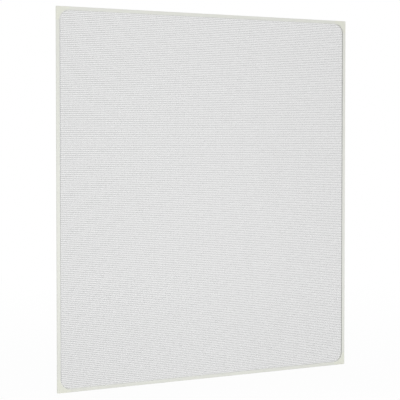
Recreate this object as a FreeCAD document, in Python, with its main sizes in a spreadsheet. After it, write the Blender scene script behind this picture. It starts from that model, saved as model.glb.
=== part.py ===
import FreeCAD, Part
import os
import Sketcher

# Slim insect screen for a window, in millimetres: four hollow strips butted to four moulded corners,
# a mesh tucked into a groove that runs round the frame, a soft spline that locks it there, and a flat
# magnet in the back of each strip. X is across, Z is up, the front faces -Y and the bottom edge is Z 0.

SIZES = [
    ("frame_width", 1300),
    ("frame_height", 1500),
    ("frame_depth", 8),
    ("face_width", 11.3),
    ("groove_width", 2.8),
    ("lip_width", 0.8),
    ("lip_drop", 0.6),
    ("flange_depth", 6.0),
    ("skin", 1.4),
    ("web", 1.0),
    ("outer_round", 2.0),
    ("corner_extra", 0.6),
    ("edge_round", 0.4),
    ("corner_radius", 40),
    ("tongue_length", 40),
    ("tongue_tip", 1.0),
    ("end_wall", 2.6),
    ("rib", 1.2),
    ("rib_place", 33),
    ("rib_setback", 0.6),
    ("fit_gap", 0.15),
    ("magnet_width", 8),
    ("magnet_thick", 2.0),
    ("mesh_thick", 0.3),
    ("mesh_gaps", 120),
    ("yarn_width", 2.0),
    ("spline_gap", 0.1),
    ("spline_recess", 0.3),
    ("spline_height", 3.6),
    ("spline_taper", 0.5),
]

# Lengths that follow from the sizes above, as expressions. A distance named from_edge is measured inward
# from the outer edge of the frame, and a depth is measured back from its front face.
BAR_WIDTH = "(Dims.face_width + Dims.groove_width + Dims.lip_width)"
LIP_FROM_EDGE = "(Dims.face_width + Dims.groove_width)"
TUCK_FROM_EDGE = "(Dims.face_width + Dims.groove_width - Dims.mesh_thick)"
CORNER_LEG = "(Dims.face_width + Dims.groove_width / 2 + Dims.corner_radius)"
SPLINE_NEAR = "(Dims.face_width + Dims.spline_gap / 2)"
SPLINE_FAR = f"({TUCK_FROM_EDGE} - Dims.spline_gap / 2)"
SPLINE_FROM_EDGE = f"(({SPLINE_NEAR} + {SPLINE_FAR}) / 2)"
SPLINE_FOOT = "(Dims.spline_recess + Dims.spline_height)"
FOOT_DEPTH = f"({SPLINE_FOOT} + Dims.spline_gap / 2)"
GROOVE_DEPTH = f"({FOOT_DEPTH} + Dims.mesh_thick)"
CHANNEL_DEPTH = "(Dims.frame_depth - Dims.magnet_thick)"
CHANNEL_NEAR = "((Dims.face_width - Dims.magnet_width) / 2 - Dims.fit_gap)"
CHANNEL_FAR = "((Dims.face_width + Dims.magnet_width) / 2 + Dims.fit_gap)"
CHAMBER_FAR = "(Dims.face_width - Dims.skin)"
CHAMBER_BACK = f"({CHANNEL_DEPTH} - Dims.web)"
MESH_FRONT = "(Dims.lip_drop - Dims.mesh_thick)"
MESH_MIDDLE = "(Dims.lip_drop - Dims.mesh_thick / 2)"
FOOT_FROM_EDGE = "(Dims.face_width + Dims.spline_gap)"
YARN_REACH = f"(({TUCK_FROM_EDGE} + {BAR_WIDTH}) / 2)"

# Name, turn about Y, outer edge's middle (X, Z) and full length of each side, then of each corner.
SIDES = [
    ("left", 0, "-Dims.frame_width / 2", "Dims.frame_height / 2", "Dims.frame_height"),
    ("top", 90, "0", "Dims.frame_height", "Dims.frame_width"),
    ("right", 180, "Dims.frame_width / 2", "Dims.frame_height / 2", "Dims.frame_height"),
    ("bottom", -90, "0", "0", "Dims.frame_width"),
]
CORNERS = [
    ("bottom_left", 0, "-Dims.frame_width / 2", "0"),
    ("top_left", 90, "-Dims.frame_width / 2", "Dims.frame_height"),
    ("top_right", 180, "Dims.frame_width / 2", "Dims.frame_height"),
    ("bottom_right", -90, "Dims.frame_width / 2", "0"),
]

START, END, CENTRE = 1, 2, 3
ORIGIN = (-1, 1)
QUARTER = 1.5707963267948966
TOUCH = 1e-4
FRONT = FreeCAD.Vector(0, 0, 1)

doc = FreeCAD.newDocument("window_screen")
sheet = doc.addObject("Spreadsheet::Sheet", "Dims")
for row, (alias, value) in enumerate(SIZES, 1):
    sheet.set(f"A{row}", alias)
    sheet.set(f"B{row}", str(value))
    sheet.setAlias(f"B{row}", alias)
doc.recompute()


def new_body(name):
    body = doc.addObject("PartDesign::Body", name)
    body.Label = name
    return body


def place(body, turn, x, z):
    body.Placement = FreeCAD.Placement(FreeCAD.Vector(), FreeCAD.Rotation(FreeCAD.Vector(0, 1, 0), turn))
    body.setExpression("Placement.Base.x", x)
    body.setExpression("Placement.Base.y", "-Dims.frame_depth / 2")
    body.setExpression("Placement.Base.z", z)


def origin_feature(body, role):
    return next(item for item in body.Origin.OriginFeatures if item.Role == role)


def new_sketch(body, name, role, offset="0"):
    sketch = body.newObject("Sketcher::SketchObject", name)
    sketch.AttachmentSupport = (origin_feature(body, role), [""])
    sketch.MapMode = "FlatFace"
    sketch.setExpression("AttachmentOffset.Base.z", offset)
    return sketch


def measure(sketch, kind, expression, drawn, *where):
    """Hold one dimension of the sketch, drawn at a rough value, to the value of an expression."""
    index = sketch.addConstraint(Sketcher.Constraint(kind, *where, drawn))
    sketch.setExpression(f"Constraints[{index}]", expression)


def pin_x(sketch, point, x):
    measure(sketch, "DistanceX", x, sketch.getPoint(*point).x, *ORIGIN, *point)


def pin_y(sketch, point, y):
    measure(sketch, "DistanceY", y, sketch.getPoint(*point).y, *ORIGIN, *point)


def pin(sketch, point, x, y):
    pin_x(sketch, point, x)
    pin_y(sketch, point, y)


def set_radius(sketch, curve, radius):
    measure(sketch, "Radius", radius, sketch.Geometry[curve].Radius, curve)


def join(sketch, first, second, kind="Coincident"):
    sketch.addConstraint(Sketcher.Constraint(kind, *first, *second))


def draw_polygon(sketch, points):
    corners = [FreeCAD.Vector(index, index * index, 0) for index in range(len(points))]
    lines = []
    for start, end in zip(corners, corners[1:] + corners[:1]):
        lines.append(sketch.addGeometry(Part.LineSegment(start, end)))
    for line, following in zip(lines, lines[1:] + lines[:1]):
        join(sketch, (line, END), (following, START))
    for line, (x, y) in zip(lines, points):
        pin(sketch, (line, START), x, y)


def draw_rectangle(sketch, x0, x1, y0, y1):
    draw_polygon(sketch, [(x0, y0), (x1, y0), (x1, y1), (x0, y1)])


def draw_circle(sketch, x, y, radius):
    circle = sketch.addGeometry(Part.Circle(FreeCAD.Vector(1, 1, 0), FRONT, 1))
    pin(sketch, (circle, CENTRE), x, y)
    set_radius(sketch, circle, radius)


def draw_rounded_rectangle(sketch, from_edge):
    """The frame's outline moved inward by from_edge, with its four corner arcs, about the origin."""
    half_x = sheet.frame_width / 2 - sheet.corner_radius
    half_y = sheet.frame_height / 2 - sheet.corner_radius
    arcs = []
    for turn, (side_x, side_y) in enumerate([(1, -1), (1, 1), (-1, 1), (-1, -1)]):
        middle = FreeCAD.Vector(side_x * half_x, side_y * half_y, 0)
        circle = Part.Circle(middle, FRONT, sheet.corner_radius)
        first = (turn - 1) * QUARTER
        arcs.append(sketch.addGeometry(Part.ArcOfCircle(circle, first, first + QUARTER)))
        pin(
            sketch, (arcs[-1], CENTRE),
            f"{side_x} * (Dims.frame_width / 2 - {CORNER_LEG})",
            f"{side_y} * (Dims.frame_height / 2 - {CORNER_LEG})",
        )
        set_radius(sketch, arcs[-1], f"{CORNER_LEG} - {from_edge}")
    for arc, following in zip(arcs, arcs[1:] + arcs[:1]):
        end = sketch.getPoint(arc, END)
        start = sketch.getPoint(following, START)
        line = sketch.addGeometry(Part.LineSegment(end, start))
        join(sketch, (line, START), (arc, END), "Tangent")
        join(sketch, (line, END), (following, START), "Tangent")


def pad(body, name, sketch, length, midplane=False, reverse=False):
    feature = body.newObject("PartDesign::Pad", name)
    feature.Profile = sketch
    feature.setExpression("Length", length)
    feature.SideType = "Symmetric" if midplane else "One side"
    feature.Reversed = reverse
    doc.recompute()
    return feature


def pocket(body, name, sketch, length):
    before = body.Shape.Volume
    feature = body.newObject("PartDesign::Pocket", name)
    feature.Profile = sketch
    feature.setExpression("Length", length)
    doc.recompute()
    if feature.Shape.Volume >= before:
        raise RuntimeError(f"{body.Label}: {name} cuts nothing")
    return feature


def dress_edges(body, kind, name, size, chosen):
    """Round or chamfer the edges of the body whose middle point passes the test."""
    base = body.Tip
    names = []
    for number, edge in enumerate(base.Shape.Edges, 1):
        middle = edge.valueAt((edge.FirstParameter + edge.LastParameter) / 2)
        if chosen(middle):
            names.append(f"Edge{number}")
    feature = body.newObject(f"PartDesign::{kind}", name)
    feature.Base = (base, names)
    feature.setExpression("Size" if kind == "Chamfer" else "Radius", size)
    doc.recompute()
    return feature


def near(value, target):
    return abs(value - target) < TOUCH


def make_strip(side, turn, x, z, length):
    """One extruded strip: front band, flange with mesh groove and lip, hollow chamber, magnet channel."""
    body = new_body(f"strip_{side}")
    sketch = new_sketch(body, f"strip_{side}_section", "XY_Plane")
    draw_polygon(sketch, [
        ("0", "0"),
        ("Dims.face_width", "0"),
        ("Dims.face_width", GROOVE_DEPTH),
        (LIP_FROM_EDGE, GROOVE_DEPTH),
        (LIP_FROM_EDGE, "Dims.lip_drop"),
        (BAR_WIDTH, "Dims.lip_drop"),
        (BAR_WIDTH, "Dims.flange_depth"),
        ("Dims.face_width", "Dims.flange_depth"),
        ("Dims.face_width", "Dims.frame_depth"),
        (CHANNEL_FAR, "Dims.frame_depth"),
        (CHANNEL_FAR, CHANNEL_DEPTH),
        (CHANNEL_NEAR, CHANNEL_DEPTH),
        (CHANNEL_NEAR, "Dims.frame_depth"),
        ("0", "Dims.frame_depth"),
    ])
    draw_rectangle(sketch, "Dims.skin", CHAMBER_FAR, "Dims.skin", CHAMBER_BACK)
    pad(body, f"strip_{side}_length", sketch, f"{length} - 2 * {CORNER_LEG}", midplane=True)
    inner_edge = sheet.face_width + sheet.groove_width + sheet.lip_width
    back = sheet.frame_depth

    def small(point):
        at_flange = near(point.y, sheet.lip_drop) or near(point.y, sheet.flange_depth)
        at_lip = near(point.x, inner_edge) and at_flange
        at_groove = near(point.x, sheet.face_width) and near(point.y, 0)
        at_back = near(point.y, back) and (near(point.x, 0) or near(point.x, sheet.face_width))
        return near(point.z, 0) and (at_lip or at_groove or at_back)

    def outer(point):
        return near(point.z, 0) and near(point.x, 0) and near(point.y, 0)

    dress_edges(body, "Fillet", f"strip_{side}_edges", "Dims.edge_round", small)
    dress_edges(body, "Fillet", f"strip_{side}_front_round", "Dims.outer_round", outer)
    place(body, turn, x, z)
    return body


def make_magnet(side, turn, x, z, length):
    """The flexible magnet pressed into the channel in the back of a strip."""
    body = new_body(f"magnet_{side}")
    sketch = new_sketch(body, f"magnet_{side}_section", "XY_Plane")
    near_side = f"{CHANNEL_NEAR} + Dims.fit_gap"
    far_side = f"{CHANNEL_FAR} - Dims.fit_gap"
    draw_rectangle(sketch, near_side, far_side, CHANNEL_DEPTH, "Dims.frame_depth")
    pad(body, f"magnet_{side}_length", sketch, f"{length} - 2 * {CORNER_LEG}", midplane=True)
    place(body, turn, x, z)
    return body


def draw_back_pocket(sketch):
    """The hollow behind a corner's face: square outside, and round along the groove's wall."""
    far = f"{CORNER_LEG} - Dims.end_wall"
    low = "Dims.skin"
    leg = sheet.face_width + sheet.corner_radius
    circle = Part.Circle(FreeCAD.Vector(leg, leg, 0), FRONT, sheet.corner_radius)
    arc = sketch.addGeometry(Part.ArcOfCircle(circle, 2 * QUARTER, 3 * QUARTER))
    pin(sketch, (arc, CENTRE), CORNER_LEG, CORNER_LEG)
    set_radius(sketch, arc, f"{CORNER_LEG} - Dims.face_width + Dims.skin")
    pin_y(sketch, (arc, START), far)
    pin_x(sketch, (arc, END), far)
    route = [(leg, 2), (leg, 0), (0, 0), (0, leg), (2, leg)]
    stops = [FreeCAD.Vector(x, y, 0) for x, y in route]
    lines = []
    for start, end in zip(stops, stops[1:]):
        lines.append(sketch.addGeometry(Part.LineSegment(start, end)))
    join(sketch, (arc, END), (lines[0], START))
    for line, following in zip(lines, lines[1:]):
        join(sketch, (line, END), (following, START))
    join(sketch, (lines[-1], END), (arc, START))
    pin(sketch, (lines[0], END), far, low)
    pin(sketch, (lines[1], END), low, low)
    pin(sketch, (lines[2], END), low, far)


def make_corner(name, turn, x, z):
    """One moulded corner: square outside, round groove and lip inside, ribbed back and two tongues."""
    body = new_body(f"corner_{name}")
    block = new_sketch(body, f"corner_{name}_block", "XZ_Plane")
    draw_rectangle(block, "0", CORNER_LEG, "0", CORNER_LEG)
    pad(body, f"corner_{name}_body", block, "Dims.frame_depth", reverse=True)

    def upright(point):
        return near(point.x, 0) and near(point.z, 0)

    dress_edges(body, "Fillet", f"corner_{name}_upright", "Dims.outer_round + Dims.corner_extra", upright)
    opening = new_sketch(body, f"corner_{name}_opening", "XZ_Plane")
    draw_circle(opening, CORNER_LEG, CORNER_LEG, f"{CORNER_LEG} - {BAR_WIDTH}")
    pocket(body, f"corner_{name}_inside", opening, "Dims.frame_depth")
    lip = new_sketch(body, f"corner_{name}_lip", "XZ_Plane")
    draw_circle(lip, CORNER_LEG, CORNER_LEG, f"{CORNER_LEG} - {LIP_FROM_EDGE}")
    pocket(body, f"corner_{name}_lip_drop", lip, "Dims.lip_drop")
    ring = new_sketch(body, f"corner_{name}_ring", "XZ_Plane")
    draw_circle(ring, CORNER_LEG, CORNER_LEG, f"{CORNER_LEG} - {LIP_FROM_EDGE}")
    draw_circle(ring, CORNER_LEG, CORNER_LEG, f"{CORNER_LEG} - Dims.face_width")
    pocket(body, f"corner_{name}_groove", ring, GROOVE_DEPTH)
    step = new_sketch(body, f"corner_{name}_step", "XZ_Plane", "-Dims.flange_depth")
    draw_circle(step, CORNER_LEG, CORNER_LEG, f"{CORNER_LEG} - Dims.face_width")
    pocket(body, f"corner_{name}_flange", step, "Dims.frame_depth - Dims.flange_depth")
    hollow = new_sketch(body, f"corner_{name}_hollow", "XZ_Plane", "-Dims.skin")
    draw_back_pocket(hollow)
    pocket(body, f"corner_{name}_back", hollow, "Dims.frame_depth - Dims.skin")

    wall_radius = f"({CORNER_LEG} - Dims.face_width + Dims.skin / 2)"
    reach = f"({CORNER_LEG} - sqrt({wall_radius} ^ 2 - ({CORNER_LEG} - Dims.rib_place) ^ 2))"
    rib_low = "Dims.rib_place - Dims.rib / 2"
    rib_high = "Dims.rib_place + Dims.rib / 2"
    slant = "Dims.rib / 2 / sqrt(2)"
    root = "Dims.skin"
    tip = f"{CORNER_LEG} - {wall_radius} / sqrt(2)"
    ribs = [
        [(rib_low, "Dims.skin / 2"), (rib_high, "Dims.skin / 2"), (rib_high, reach), (rib_low, reach)],
        [("Dims.skin / 2", rib_low), (reach, rib_low), (reach, rib_high), ("Dims.skin / 2", rib_high)],
        [
            (f"{root} + {slant}", f"{root} - {slant}"), (f"{tip} + {slant}", f"{tip} - {slant}"),
            (f"{tip} - {slant}", f"{tip} + {slant}"), (f"{root} - {slant}", f"{root} + {slant}"),
        ],
    ]
    for number, outline in enumerate(ribs, 1):
        sketch = new_sketch(body, f"corner_{name}_rib_{number}", "XZ_Plane", "-Dims.skin / 2")
        draw_polygon(sketch, outline)
        height = "Dims.frame_depth - Dims.skin / 2 - Dims.rib_setback"
        pad(body, f"corner_{name}_rib_pad_{number}", sketch, height, reverse=True)

    across = ("Dims.skin + Dims.fit_gap", f"{CHAMBER_FAR} - Dims.fit_gap")
    deep = ("Dims.skin + Dims.fit_gap", f"{CHAMBER_BACK} - Dims.fit_gap")
    tongues = [("level", "YZ_Plane", deep + across), ("upright", "XY_Plane", across + deep)]
    for way, role, limits in tongues:
        sketch = new_sketch(body, f"corner_{name}_tongue_{way}", role, CORNER_LEG)
        draw_rectangle(sketch, *limits)
        pad(body, f"corner_{name}_tongue_{way}_pad", sketch, "Dims.tongue_length")
    leg = sheet.face_width + sheet.groove_width / 2 + sheet.corner_radius
    far = leg + sheet.tongue_length

    def tongue_end(point):
        return near(point.x, far) or near(point.z, far)

    def outer_front(point):
        margin = sheet.outer_round + sheet.corner_extra
        return near(point.y, 0) and min(point.x, point.z) < margin

    dress_edges(body, "Chamfer", f"corner_{name}_tongue_tips", "Dims.tongue_tip", tongue_end)
    dress_edges(body, "Fillet", f"corner_{name}_front_round", "Dims.outer_round", outer_front)
    place(body, turn, x, z)
    return body


def make_spline():
    """The soft strip pressed into the groove over the mesh, in one loop: flat in front, tapered behind."""
    body = new_body("spline")
    path = new_sketch(body, "spline_path", "XZ_Plane", "-Dims.spline_recess")
    draw_rounded_rectangle(path, SPLINE_FROM_EDGE)
    section = new_sketch(body, "spline_section", "YZ_Plane", f"{CORNER_LEG} - Dims.frame_width / 2")
    near_side = f"{SPLINE_NEAR} - Dims.frame_height / 2"
    far_side = f"{SPLINE_FAR} - Dims.frame_height / 2"
    draw_polygon(section, [
        ("Dims.spline_recess", near_side),
        ("Dims.spline_recess", far_side),
        (f"{SPLINE_FOOT} - Dims.spline_taper", far_side),
        (SPLINE_FOOT, f"{far_side} - Dims.spline_taper"),
        (SPLINE_FOOT, f"{near_side} + Dims.spline_taper"),
        (f"{SPLINE_FOOT} - Dims.spline_taper", near_side),
    ])
    doc.recompute()
    pipe = body.newObject("PartDesign::AdditivePipe", "spline_loop")
    pipe.Profile = section
    pipe.Spine = path
    doc.recompute()
    place(body, 0, "0", "Dims.frame_height / 2")
    return body


def draw_ring(sketch, outer_from_edge, inner_from_edge):
    draw_rounded_rectangle(sketch, outer_from_edge)
    draw_rounded_rectangle(sketch, inner_from_edge)


def make_yarn_layer(name, depth, along_x):
    """One layer of the mesh: its rim on the lip, and evenly spaced yarns across the opening."""
    body = new_body(name)
    rim = new_sketch(body, f"{name}_rim", "XZ_Plane", f"-{depth}")
    draw_ring(rim, TUCK_FROM_EDGE, BAR_WIDTH)
    pad(body, f"{name}_rim_pad", rim, "Dims.mesh_thick / 2", reverse=True)
    if not along_x:
        tuck = new_sketch(body, f"{name}_tuck", "XZ_Plane", f"-{depth}")
        draw_ring(tuck, TUCK_FROM_EDGE, LIP_FROM_EDGE)
        pad(body, f"{name}_tuck_pad", tuck, f"{GROOVE_DEPTH} - {depth}", reverse=True)
        foot = new_sketch(body, f"{name}_foot", "XZ_Plane", f"-{FOOT_DEPTH}")
        draw_ring(foot, FOOT_FROM_EDGE, LIP_FROM_EDGE)
        pad(body, f"{name}_foot_pad", foot, "Dims.mesh_thick", reverse=True)
    span, height = ("frame_height", "frame_width") if along_x else ("frame_width", "frame_height")
    opening = f"(Dims.{span} - 2 * {BAR_WIDTH})"
    first = f"(-{opening} / 2 + {opening} / Dims.mesh_gaps)"
    reach = f"(Dims.{height} / 2 - {YARN_REACH})"
    across = (f"{first} - Dims.yarn_width / 2", f"{first} + Dims.yarn_width / 2")
    along = (f"-{reach}", reach)
    yarn = new_sketch(body, f"{name}_yarn", "XZ_Plane", f"-{depth}")
    draw_rectangle(yarn, *(along + across if along_x else across + along))
    strand = pad(body, f"{name}_yarn_pad", yarn, "Dims.mesh_thick / 2", reverse=True)
    pattern = body.newObject("PartDesign::LinearPattern", f"{name}_yarns")
    pattern.Originals = [strand]
    pattern.Direction = (origin_feature(body, "Z_Axis" if along_x else "X_Axis"), [""])
    pattern.setExpression("Length", f"{opening} * (Dims.mesh_gaps - 2) / Dims.mesh_gaps")
    pattern.setExpression("Occurrences", "Dims.mesh_gaps - 1")
    body.Tip = pattern
    doc.recompute()
    trim = new_sketch(body, f"{name}_trim", "XZ_Plane", f"-{depth}")
    edge_x = "Dims.frame_width / 2"
    edge_y = "Dims.frame_height / 2"
    draw_rectangle(trim, f"-{edge_x}", edge_x, f"-{edge_y}", edge_y)
    draw_rounded_rectangle(trim, TUCK_FROM_EDGE)
    pocket(body, f"{name}_trimmed", trim, "Dims.mesh_thick / 2")
    place(body, 0, "0", "Dims.frame_height / 2")
    return body


def make_mesh():
    """The mesh: level yarns in front of upright ones, its edge turned down into the groove."""
    mesh = doc.addObject("Part::Compound", "screen_mesh")
    mesh.Label = "screen_mesh"
    mesh.Links = [
        make_yarn_layer("weft_yarns", MESH_FRONT, True),
        make_yarn_layer("warp_yarns", MESH_MIDDLE, False),
    ]
    return mesh


sub_parts = [make_strip(*side) for side in SIDES]
sub_parts += [make_magnet(*side) for side in SIDES]
sub_parts += [make_corner(*corner) for corner in CORNERS]
sub_parts += [make_spline(), make_mesh()]
doc.recompute()

for item in doc.Objects:
    if "Invalid" in item.State or "Error" in item.State:
        raise RuntimeError(f"{item.Label} did not build")
for sub_part in sub_parts:
    if sub_part.Shape.isNull() or not sub_part.Shape.isValid():
        raise RuntimeError(f"{sub_part.Label} has no valid shape")

os.makedirs("parts", exist_ok=True)
for sub_part in sub_parts:
    sub_part.Shape.exportStep(f"parts/{sub_part.Label}.step")
    print(sub_part.Label, len(sub_part.Shape.Solids), round(sub_part.Shape.Volume), "mm3")
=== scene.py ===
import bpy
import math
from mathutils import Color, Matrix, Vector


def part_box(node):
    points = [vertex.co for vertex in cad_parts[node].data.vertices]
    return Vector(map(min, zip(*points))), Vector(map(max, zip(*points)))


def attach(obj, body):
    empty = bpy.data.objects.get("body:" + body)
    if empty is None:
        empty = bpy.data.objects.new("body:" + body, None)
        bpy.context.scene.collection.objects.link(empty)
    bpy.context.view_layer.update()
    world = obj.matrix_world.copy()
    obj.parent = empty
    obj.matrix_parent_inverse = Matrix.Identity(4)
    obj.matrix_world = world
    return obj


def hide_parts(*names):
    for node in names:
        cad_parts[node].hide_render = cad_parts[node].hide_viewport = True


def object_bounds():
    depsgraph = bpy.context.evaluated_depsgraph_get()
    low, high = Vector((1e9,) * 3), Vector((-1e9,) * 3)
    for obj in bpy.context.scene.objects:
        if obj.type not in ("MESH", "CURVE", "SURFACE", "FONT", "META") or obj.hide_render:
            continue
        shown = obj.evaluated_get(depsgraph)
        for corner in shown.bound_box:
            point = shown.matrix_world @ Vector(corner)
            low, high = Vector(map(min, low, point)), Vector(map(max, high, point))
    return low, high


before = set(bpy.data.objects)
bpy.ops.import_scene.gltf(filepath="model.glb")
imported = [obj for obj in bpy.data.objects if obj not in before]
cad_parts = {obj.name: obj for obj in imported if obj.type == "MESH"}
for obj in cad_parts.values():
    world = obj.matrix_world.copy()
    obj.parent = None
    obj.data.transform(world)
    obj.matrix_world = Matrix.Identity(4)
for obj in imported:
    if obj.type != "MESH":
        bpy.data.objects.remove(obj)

# %% [markdown]
# # A slim window screen
#
# The object is an insect screen for a window: an off-white plastic frame with bars only 15 mm wide,
# and a grey mesh stretched across it. Almost all of what the eye sees is mesh, so the lesson spends
# most of its time on yarn, on pale plastic and on a white studio.
#
# The CAD parts are already in the scene, in metres, with the front facing -Y and the bottom edge at
# Z 0. We keep their box now: the sizes below are taken from it, and it is printed at the end.

cad_low, cad_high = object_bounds()
half_width = (cad_high.x - cad_low.x) / 2
half_height = (cad_high.z - cad_low.z) / 2
print("CAD parts:", ", ".join(sorted(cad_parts)))

# %% [markdown]
# ## The camera
#
# The photo looks at the screen from the left through a long lens, and the uprights stay almost
# parallel, as in most product shots. We could tilt the camera to centre the frame, but then the
# uprights would lean together. A small vertical shift moves the picture on the sensor instead and
# leaves them nearly upright.

# %% Camera at the photo's angle
CAMERA_PLACE = (-1.7692, -3.8636, 0.9894)
CAMERA_YAW, CAMERA_PITCH = 24.075, 1.412
LENS_MM, SENSOR_MM, LENS_SHIFT = 92.92, 36.0, -0.09

scene = bpy.context.scene
lens = bpy.data.cameras.new("photo_camera")
lens.lens, lens.sensor_width, lens.shift_y = LENS_MM, SENSOR_MM, LENS_SHIFT
camera = bpy.data.objects.new("photo_camera", lens)
camera.location = CAMERA_PLACE
camera.rotation_euler = (math.radians(90 - CAMERA_PITCH), 0, -math.radians(CAMERA_YAW))
scene.collection.objects.link(camera)
scene.camera = camera
scene.view_settings.view_transform = "Standard"
print(f"camera {camera.location.length:.2f} m away, {lens.lens:.0f} mm lens")

# %% [markdown]
# ## Small helpers for node trees
#
# Every finish below is a node tree. Such a tree could be drawn by hand in the Shader Editor, but
# code can be read, changed and run again. Two helpers keep the cells short: one adds a node and
# sets its values, and one turns a colour as a paint chart gives it (0 to 255) into the linear
# numbers that Blender works with. The curve between the two is known, but Blender has it built in.

# %% Helpers for nodes and colours
CHART_WHITE = 255


def add_node(tree, kind, values=None, **settings):
    node = tree.nodes.new(kind)
    for name, value in settings.items():
        setattr(node, name, value)
    for name, value in (values or {}).items():
        node.inputs[name].default_value = value
    return node


def chart_colour(red, green, blue):
    chart = Color((red / CHART_WHITE, green / CHART_WHITE, blue / CHART_WHITE))
    return (*chart.from_srgb_to_scene_linear(), 1.0)


print("chart grey 128 is", round(chart_colour(128, 128, 128)[0], 3), "in linear light")

# %% [markdown]
# ## The studio
#
# The photo has a pure white background with no horizon. More light would whiten it, but would also
# burn out the pale frame. Instead the world and the floor answer the camera with plain white, and
# give every other ray a moderate level, so that a colour renders about as it is written. Mirror and
# glass rays count as camera rays here, so that a glossy edge shows the same white studio.

# %% Which rays see plain white
WHITE_RAYS = ("Is Camera Ray", "Is Glossy Ray", "Is Transmission Ray")


def seen_rays(tree):
    path = add_node(tree, "ShaderNodeLightPath")
    seen = path.outputs[WHITE_RAYS[0]]
    for ray in WHITE_RAYS[1:]:
        either = add_node(tree, "ShaderNodeMath", operation="ADD", use_clamp=True)
        tree.links.new(seen, either.inputs[0])
        tree.links.new(path.outputs[ray], either.inputs[1])
        seen = either.outputs[0]
    return seen


print("plain white for:", ", ".join(WHITE_RAYS))

# %% White world with a moderate level for lighting
WORLD_LEVEL, PLAIN_WHITE = 0.68, 1.0
WHITE = (1, 1, 1, 1)

world = bpy.data.worlds.new("white_studio")
world.use_nodes = True
scene.world = world
sky = world.node_tree
background = sky.nodes["Background"]
background.inputs["Color"].default_value = WHITE
level = add_node(sky, "ShaderNodeMapRange", {"To Min": WORLD_LEVEL, "To Max": PLAIN_WHITE})
sky.links.new(seen_rays(sky), level.inputs["Value"])
sky.links.new(level.outputs["Result"], background.inputs["Strength"])
print("world level for lighting:", WORLD_LEVEL)

# %% [markdown]
# The floor is the one part of the studio that takes a shadow. A floor of plain white alone would
# lose it, and a matt one alone would look grey in the picture, so the two are mixed: some matt
# paint close to the screen, where its soft shadow falls, and plain white further off, where floor
# and world have to meet without a line.

# %% Paint for the floor
NEAR_WHITE, NEAR_END, FAR_START = 0.94, 0.9, 3.2
PALE_PAINT = (0.97, 0.97, 0.97, 1)

floor_paint = bpy.data.materials.new("studio_floor")
floor_paint.use_nodes = True
paint = floor_paint.node_tree
paint.nodes.remove(paint.nodes["Principled BSDF"])
matt = add_node(paint, "ShaderNodeBsdfDiffuse", {"Color": PALE_PAINT})
glow = add_node(paint, "ShaderNodeEmission", {"Color": WHITE, "Strength": PLAIN_WHITE})
floor_place = add_node(paint, "ShaderNodeTexCoord")
distance = add_node(paint, "ShaderNodeVectorMath", operation="LENGTH")
whiteness = add_node(paint, "ShaderNodeMapRange", {
    "From Min": NEAR_END, "From Max": FAR_START, "To Min": NEAR_WHITE, "To Max": PLAIN_WHITE})
glow_share = add_node(paint, "ShaderNodeMath", operation="MULTIPLY")
matt_or_glow = add_node(paint, "ShaderNodeMixShader")
paint.links.new(floor_place.outputs["Object"], distance.inputs[0])
paint.links.new(distance.outputs["Value"], whiteness.inputs["Value"])
paint.links.new(seen_rays(paint), glow_share.inputs[0])
paint.links.new(whiteness.outputs["Result"], glow_share.inputs[1])
paint.links.new(glow_share.outputs[0], matt_or_glow.inputs["Fac"])
paint.links.new(matt.outputs[0], matt_or_glow.inputs[1])
paint.links.new(glow.outputs[0], matt_or_glow.inputs[2])
paint.links.new(matt_or_glow.outputs[0], paint.nodes["Material Output"].inputs["Surface"])
print(f"floor: {1 - NEAR_WHITE:.0%} matt within {NEAR_END} m, plain white from {FAR_START} m on")

# %% The floor itself
FLOOR_HALF = 9.0

floor_mesh = bpy.data.meshes.new("studio_floor")
floor_corners = [(side_x * FLOOR_HALF, side_y * FLOOR_HALF, 0)
                 for side_x, side_y in ((-1, -1), (1, -1), (1, 1), (-1, 1))]
floor_mesh.from_pydata(floor_corners, [], [(0, 1, 2, 3)])
floor_mesh.materials.append(floor_paint)
floor = bpy.data.objects.new("studio_floor", floor_mesh)
scene.collection.objects.link(floor)
print(f"floor {2 * FLOOR_HALF:.0f} m across")

# %% [markdown]
# ## Soft lamps
#
# A sun lamp would draw hard lines in the groove, and the photo shows none. Large lamps give the
# soft, nearly even light of a product shot. One stands in front on the left, level with the screen,
# and the step that it leaves between left and right shows the roundings of the frame. A long low
# one lies in front, because the bottom of the frame stands close to the floor and would come out
# darker than the top. A third washes the back, so that the screen can be looked at from behind as
# well.

# %% Three soft lamps
def soft_lamp(name, place, target, size, watts):
    lamp = bpy.data.lights.new(name, "AREA")
    lamp.shape, lamp.energy = "ELLIPSE", watts
    lamp.size, lamp.size_y = size
    holder = bpy.data.objects.new(name, lamp)
    holder.location = place
    holder.rotation_euler = (Vector(target) - Vector(place)).to_track_quat("-Z", "Y").to_euler()
    scene.collection.objects.link(holder)
    print(f"{name}: {watts} W, {size[0]} x {size[1]} m")


SCREEN_MIDDLE, SCREEN_FOOT = (0, 0, half_height), (0, 0, 0.3)

soft_lamp("key_lamp", place=(-2.8, -4.0, 1.3), target=SCREEN_MIDDLE, size=(2.4, 2.4), watts=40)
soft_lamp("low_lamp", place=(0.1, -1.5, 0.34), target=SCREEN_FOOT, size=(1.6, 0.5), watts=4)
soft_lamp("back_lamp", place=(1.5, 4.2, 2.4), target=SCREEN_MIDDLE, size=(2.8, 2.8), watts=40)

# %% [markdown]
# ## Effects that several finishes share
#
# Plastic looks like plastic because it is never quite even. Two effects do that here: a slow drift
# of tone, and a fine tooth that is long and thin on an extruded strip but round on a moulded
# corner. They could be copied into every finish, but a node group is built once and placed in each
# with its own values. Both read object coordinates, which are true metres on these parts, so the
# grain has a real size.

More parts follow.
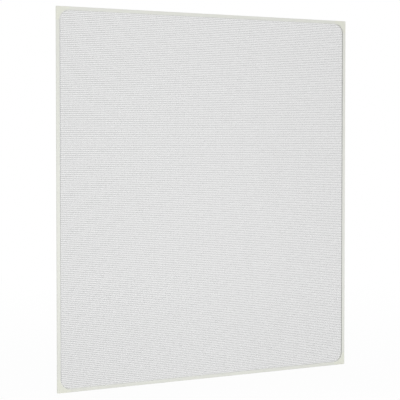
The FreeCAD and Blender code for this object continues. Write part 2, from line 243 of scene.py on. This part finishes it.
# %% Node group: slow drift of tone
def new_group(name, inputs, outputs):
    group = bpy.data.node_groups.new(name, "ShaderNodeTree")
    for label, kind in inputs:
        group.interface.new_socket(name=label, in_out="INPUT", socket_type=kind)
    for label, kind in outputs:
        group.interface.new_socket(name=label, in_out="OUTPUT", socket_type=kind)
    return group, group.nodes.new("NodeGroupInput"), group.nodes.new("NodeGroupOutput")


tone_drift, drift_in, drift_out = new_group(
    "tone_drift",
    [("Light", "NodeSocketColor"), ("Dark", "NodeSocketColor"),
     ("Patches per metre", "NodeSocketFloat")],
    [("Colour", "NodeSocketColor")],
)
drift_place = add_node(tone_drift, "ShaderNodeTexCoord")
patch_noise = add_node(tone_drift, "ShaderNodeTexNoise", {"Detail": 4.0, "Roughness": 0.6})
tint = add_node(tone_drift, "ShaderNodeMix", data_type="RGBA")
tone_drift.links.new(drift_place.outputs["Object"], patch_noise.inputs["Vector"])
tone_drift.links.new(drift_in.outputs["Patches per metre"], patch_noise.inputs["Scale"])
tone_drift.links.new(patch_noise.outputs["Fac"], tint.inputs["Factor"])
tone_drift.links.new(drift_in.outputs["Light"], tint.inputs["A"])
tone_drift.links.new(drift_in.outputs["Dark"], tint.inputs["B"])
tone_drift.links.new(tint.outputs["Result"], drift_out.inputs["Colour"])
print("group", tone_drift.name, "ready")

# %% Node group: fine tooth
NOISE_LOW, NOISE_HIGH = 0.3, 0.7

fine_tooth, tooth_in, tooth_out = new_group(
    "fine_tooth",
    [("Stretch", "NodeSocketVector"), ("Grains per metre", "NodeSocketFloat"),
     ("Smooth", "NodeSocketFloat"), ("Rough", "NodeSocketFloat")],
    [("Height", "NodeSocketFloat"), ("Roughness", "NodeSocketFloat")],
)
tooth_place = add_node(fine_tooth, "ShaderNodeTexCoord")
stretched = add_node(fine_tooth, "ShaderNodeVectorMath", operation="MULTIPLY")
grain_noise = add_node(fine_tooth, "ShaderNodeTexNoise", {"Detail": 3.0, "Roughness": 0.55})
spread = add_node(fine_tooth, "ShaderNodeMapRange",
                  {"From Min": NOISE_LOW, "From Max": NOISE_HIGH})
fine_tooth.links.new(tooth_place.outputs["Object"], stretched.inputs[0])
fine_tooth.links.new(tooth_in.outputs["Stretch"], stretched.inputs[1])
fine_tooth.links.new(stretched.outputs[0], grain_noise.inputs["Vector"])
fine_tooth.links.new(tooth_in.outputs["Grains per metre"], grain_noise.inputs["Scale"])
fine_tooth.links.new(grain_noise.outputs["Fac"], spread.inputs["Value"])
fine_tooth.links.new(tooth_in.outputs["Smooth"], spread.inputs["To Min"])
fine_tooth.links.new(tooth_in.outputs["Rough"], spread.inputs["To Max"])
fine_tooth.links.new(grain_noise.outputs["Fac"], tooth_out.inputs["Height"])
fine_tooth.links.new(spread.outputs["Result"], tooth_out.inputs["Roughness"])
print("group", fine_tooth.name, "ready")

# %% [markdown]
# All the finishes here are plastics of some kind, so one function builds them. Each gets a pair of
# tones, the number of patches and of grains to a metre, the range of its roughness, and a relief:
# how strong the bump is, and how deep in metres.

# %% One way to build a plastic from both effects
def plastic(name, tones, patches, grains, roughness, relief, ior, stretch=(1, 1, 1)):
    material = bpy.data.materials.new(name)
    material.use_nodes = True
    tree = material.node_tree
    shader = tree.nodes["Principled BSDF"]
    shader.inputs["IOR"].default_value = ior
    light, dark = tones
    drift = add_node(tree, "ShaderNodeGroup", node_tree=tone_drift)
    drift.inputs["Light"].default_value = chart_colour(*light)
    drift.inputs["Dark"].default_value = chart_colour(*dark)
    drift.inputs["Patches per metre"].default_value = patches
    tooth = add_node(tree, "ShaderNodeGroup", node_tree=fine_tooth)
    tooth.inputs["Stretch"].default_value = stretch
    tooth.inputs["Grains per metre"].default_value = grains
    tooth.inputs["Smooth"].default_value, tooth.inputs["Rough"].default_value = roughness
    strength, depth = relief
    bump = add_node(tree, "ShaderNodeBump", {"Strength": strength, "Distance": depth})
    tree.links.new(drift.outputs["Colour"], shader.inputs["Base Color"])
    tree.links.new(tooth.outputs["Roughness"], shader.inputs["Roughness"])
    tree.links.new(tooth.outputs["Height"], bump.inputs["Height"])
    tree.links.new(bump.outputs["Normal"], shader.inputs["Normal"])
    return material


def dress(material, *nodes):
    for node in nodes:
        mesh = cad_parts[node].data
        mesh.materials.clear()
        mesh.materials.append(material)
    print(material.name, "on", ", ".join(nodes))


print("every plastic is built from", tone_drift.name, "and", fine_tooth.name)

# %% [markdown]
# ## The strips
#
# Each side of the frame is taken to be a hollow strip of off-white plastic, pushed out of a die. A
# die leaves hair-fine lines along the strip and a satin gloss. A Wave texture would give lines too,
# but all alike. Noise drawn out along the length looks truer: we multiply the coordinate along the
# strip by a small number, so each grain grows to a few centimetres that way and stays a fraction of
# a millimetre across. Level and upright strips differ only in the way they are stretched.

# %% Satin strips with die lines
STRIP_TONES = ((229, 230, 223), (224, 225, 217))
DIE_STRETCH = 0.01

for way, stretch, sides in (("level", (DIE_STRETCH, 1, 1), ("top", "bottom")),
                            ("upright", (1, 1, DIE_STRETCH), ("left", "right"))):
    satin = plastic(f"strip_plastic_{way}", STRIP_TONES, patches=6, grains=1800,
                    roughness=(0.34, 0.46), relief=(0.12, 0.0002), ior=1.53, stretch=stretch)
    dress(satin, *[f"strip_{side}" for side in sides])

# %% [markdown]
# ## The corners
#
# The line beside the mesh turns each corner on an arc, so the corners are taken to be moulded, not
# extruded, and the photo shows them a touch yellower than the strips. Die lines would be wrong on
# them. A mould is often finished with a fine even spark texture, so the same tooth is used
# unstretched, round and a little rougher.

# %% Moulded corners
CORNER_TONES = ((231, 232, 221), (226, 227, 215))

spark_textured = plastic("moulded_corner", CORNER_TONES, patches=14, grains=2600,
                         roughness=(0.42, 0.56), relief=(0.16, 0.0002), ior=1.5)
dress(spark_textured, "corner_top_left", "corner_top_right",
      "corner_bottom_left", "corner_bottom_right")

# %% [markdown]
# ## The spline
#
# The thin line beside the mesh is taken to be a groove, and the spline is the soft strip that is
# rolled into it over the mesh. Its material is a guess too: a pale, dull, rubbery plastic. A white
# strip with no tooth at all would look like paint, so it keeps a coarse, faint grain, and a high
# roughness takes the gloss away.

# %% Soft spline
SPLINE_TONES = ((236, 237, 232), (230, 231, 226))

rubbery = plastic("spline_strip", SPLINE_TONES, patches=30, grains=1500,
                  roughness=(0.62, 0.74), relief=(0.2, 0.0003), ior=1.48)
dress(rubbery, "spline")

# %% [markdown]
# ## The magnets
#
# The photo doesn't show the back, so the magnets there are a guess: flexible tape, which is brown
# ferrite powder in rubber, rolled flat and cut in strips. A metal finish would be wrong, because
# the powder is sealed in. It is a dull dark rubber, and the rollers leave faint lines along it, so
# the tooth is stretched as on the strips.

# %% Flexible magnets
MAGNET_TONES = ((74, 66, 60), (58, 51, 47))
ROLL_STRETCH = 0.02

for way, stretch, sides in (("level", (ROLL_STRETCH, 1, 1), ("top", "bottom")),
                            ("upright", (1, 1, ROLL_STRETCH), ("left", "right"))):
    tape = plastic(f"magnet_tape_{way}", MAGNET_TONES, patches=40, grains=900,
                   roughness=(0.6, 0.75), relief=(0.25, 0.0003), ior=1.5, stretch=stretch)
    dress(tape, *[f"magnet_{side}" for side in sides])

# %% [markdown]
# ## The mesh
#
# The mesh is a net of flat coated yarn. A picture of a net on one flat sheet would look thin and
# wrong from the side, so every yarn is real geometry: one flat tube from groove to groove, turned
# down at both ends over the lip of the frame, where the spline holds it. Real insect mesh is finer
# than what the photo lets us see: level lines 7.4 mm apart at this size, and hardly any upright
# ones. They may be a false pattern of the picture's pixels. We follow the photo all the same, so
# every second cross yarn is a broad one, and the upright yarns are all alike and fine.
#
# Near a corner of the frame the groove turns on an arc, so yarns there end sooner. One formula
# gives each yarn's reach from how far past the start of the arc it lies. The edge of the mesh is
# taken to be crushed together in the groove until hardly a gap is left, so a narrow closed rim runs
# round the whole mesh there. A woven cloth also has a selvedge, a firmer edge along each side where
# the weft turns back. We lay it as one broader grey yarn on the lip, left and right. The selvedge
# is a guess, and the yarn is partly painted shade: the line beside the upright strips is darker
# than beside the level ones because their side walls lie in shade, and the grey yarn darkens it
# further.

# %% Sizes of the mesh, in metres
# the selvedge yarns are partly painted shade: they darken the line beside the upright strips
TUCK_FROM_EDGE, SHADE_SELVEDGE_FROM_EDGE = 0.01395, 0.0145
YARN_THICK = 0.00015
BROAD_YARN, SLIM_YARN, UPRIGHT_YARN, SHADE_SELVEDGE_YARN = 0.00130, 0.00032, 0.00064, 0.00100
CROSS_PITCH, UPRIGHT_PITCH = 0.0037, 0.003185
YARN_SIDES = 8

mesh_low, mesh_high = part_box("screen_mesh")
corner_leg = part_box("strip_top")[0].x - cad_low.x
cross_depth = mesh_low.y + YARN_THICK / 2
upright_depth = cross_depth + YARN_THICK
tuck_depth = mesh_high.y - YARN_THICK

# %% How far a yarn reaches before it turns into the groove
def yarn_reach(across, half_across, half_along):
    past_arc = abs(across) - (half_across - corner_leg)
    if past_arc <= 0:
        return half_along - TUCK_FROM_EDGE
    radius = corner_leg - TUCK_FROM_EDGE
    return half_along - corner_leg + math.sqrt(max(radius ** 2 - past_arc ** 2, 0))


def yarn_numbers(half_across, pitch, width):
    count = int((half_across - TUCK_FROM_EDGE - width) / pitch)
    return range(-count, count + 1)


cross_numbers = yarn_numbers(half_height, CROSS_PITCH, BROAD_YARN)
upright_numbers = yarn_numbers(half_width, UPRIGHT_PITCH, UPRIGHT_YARN)
print(f"a middle cross yarn reaches {yarn_reach(0, half_height, half_width):.4f} m each way")
print(f"{len(cross_numbers)} cross yarns and {len(upright_numbers)} upright yarns fit in")

# %% One yarn as a flat tube with both ends turned down
def add_yarn(points, faces, width, depth, reach, lay):
    first = len(points)
    # each bend: its place along and back, and how far the thickness leans each way there
    bends = [(-reach, tuck_depth, 1, 0), (-reach, depth, 1, 1),
             (reach, depth, -1, 1), (reach, tuck_depth, -1, 0)]
    for along, back, lean_along, lean_back in bends:
        for side in range(YARN_SIDES):
            turn = 2 * math.pi * side / YARN_SIDES
            out, over = math.sin(turn) * YARN_THICK / 2, math.cos(turn) * width / 2
            points.append(lay(along + out * lean_along, back + out * lean_back, over))
    for ring in range(len(bends) - 1):
        here = first + ring * YARN_SIDES
        ahead = here + YARN_SIDES
        for side in range(YARN_SIDES):
            after = (side + 1) % YARN_SIDES
            faces.append((here + side, here + after, ahead + after, ahead + side))
    last = first + (len(bends) - 1) * YARN_SIDES
    faces.append(tuple(first + side for side in reversed(range(YARN_SIDES))))
    faces.append(tuple(last + side for side in range(YARN_SIDES)))
    return 2 * (reach + tuck_depth - depth) * width


def lay_level(rise):
    return lambda along, back, over: (along, back, half_height + rise + over)


def lay_upright(shift):
    return lambda along, back, over: (shift - over, back, half_height + along)


# %% Lay the cross yarns and the upright yarns
points, faces = [], []
yarn_area = 0
for number in cross_numbers:
    rise = number * CROSS_PITCH
    width = BROAD_YARN if number % 2 else SLIM_YARN
    yarn_area += add_yarn(points, faces, width, cross_depth,
                          yarn_reach(rise, half_height, half_width), lay_level(rise))

# the two outer yarns are partly painted shade: grey on the pale lip, they darken the line beside
# the upright strips
shade_selvedge = half_width - SHADE_SELVEDGE_FROM_EDGE
upright_yarns = [(UPRIGHT_YARN, number * UPRIGHT_PITCH) for number in upright_numbers]
upright_yarns += [(SHADE_SELVEDGE_YARN, -shade_selvedge), (SHADE_SELVEDGE_YARN, shade_selvedge)]
for width, shift in upright_yarns:
    yarn_area += add_yarn(points, faces, width, upright_depth,
                          yarn_reach(shift, half_width, half_height), lay_upright(shift))
yarn_faces = len(faces)
print(f"{yarn_faces} faces of yarn, {yarn_area:.2f} m2 laid flat")

# %% The crushed edge of the mesh as a narrow rim in the groove
RIM_WIDE, ARC_STEPS = 0.00026, 12


def rim_line():
    middle_x, middle_z = half_width - corner_leg, half_height - corner_leg
    for quarter, (side_x, side_z) in enumerate(((1, 1), (-1, 1), (-1, -1), (1, -1))):
        middle = Vector((side_x * middle_x, 0, half_height + side_z * middle_z))
        for step in range(ARC_STEPS + 1):
            turn = math.pi / 2 * (quarter + step / ARC_STEPS)
            yield middle, Vector((math.cos(turn), 0, math.sin(turn)))


def add_rim(points, faces, front):
    first, radius, line = len(points), corner_leg - TUCK_FROM_EDGE, list(rim_line())
    section = ((1, front), (-1, front), (-1, tuck_depth), (1, tuck_depth))
    for middle, outward in line:
        for side, back in section:
            reach = radius + side * RIM_WIDE / 2
            points.append(middle + outward * reach + Vector((0, back, 0)))
    for index in range(len(line)):
        here = first + len(section) * index
        there = first + len(section) * ((index + 1) % len(line))
        for side in range(len(section)):
            after = (side + 1) % len(section)
            faces.append((here + side, there + side, there + after, here + after))
    way_round = [middle + outward * radius for middle, outward in line]
    length = sum((end - start).length
                 for start, end in zip(way_round, way_round[1:] + way_round[:1]))
    return length * (tuck_depth - front)


rim_area = add_rim(points, faces, upright_depth)
print(f"{len(faces) - yarn_faces} faces of rim, {rim_area:.3f} m2")

# %% Yarns and rim as one object, smooth yarns and a sharp rim
cloth_mesh = bpy.data.meshes.new("mesh_cloth")
cloth_mesh.from_pydata(points, [], faces)
smooth = [index < yarn_faces for index in range(len(faces))]
cloth_mesh.polygons.foreach_set("use_smooth", smooth)
cloth = bpy.data.objects.new("mesh_cloth", cloth_mesh)
scene.collection.objects.link(cloth)
print(f"{cloth.name}: {len(cloth_mesh.vertices)} points, {len(cloth_mesh.polygons)} faces")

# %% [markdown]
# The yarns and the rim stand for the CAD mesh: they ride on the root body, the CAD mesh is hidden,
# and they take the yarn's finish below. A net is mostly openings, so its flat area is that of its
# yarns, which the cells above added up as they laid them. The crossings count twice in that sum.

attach(cloth, "root")
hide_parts("screen_mesh")

# %% [markdown]
# The yarn is taken to be glass fibre with a grey coating, a little glossy. A plain grey would make
# the net look printed. A coating is never quite even: it is a shade darker where it lies thin, and
# it has a very fine tooth, so the yarns get small patches and the finest grain of all.

# %% Coated yarn
YARN_TONES = ((167, 168, 168), (147, 148, 148))

coating = plastic("coated_yarn", YARN_TONES, patches=300, grains=4000,
                  roughness=(0.42, 0.60), relief=(0.2, 0.0001), ior=1.5)
cloth_mesh.materials.append(coating)
print(coating.name, "on", cloth.name)

# %% [markdown]
# ## The last look at the size
#
# A piece that sticks out of the CAD box would not fit where the CAD part fits. Measuring by hand in
# the viewport would do; here the CAD box is printed.

# %% Print the CAD box
print("CAD box", list(cad_low), list(cad_high))
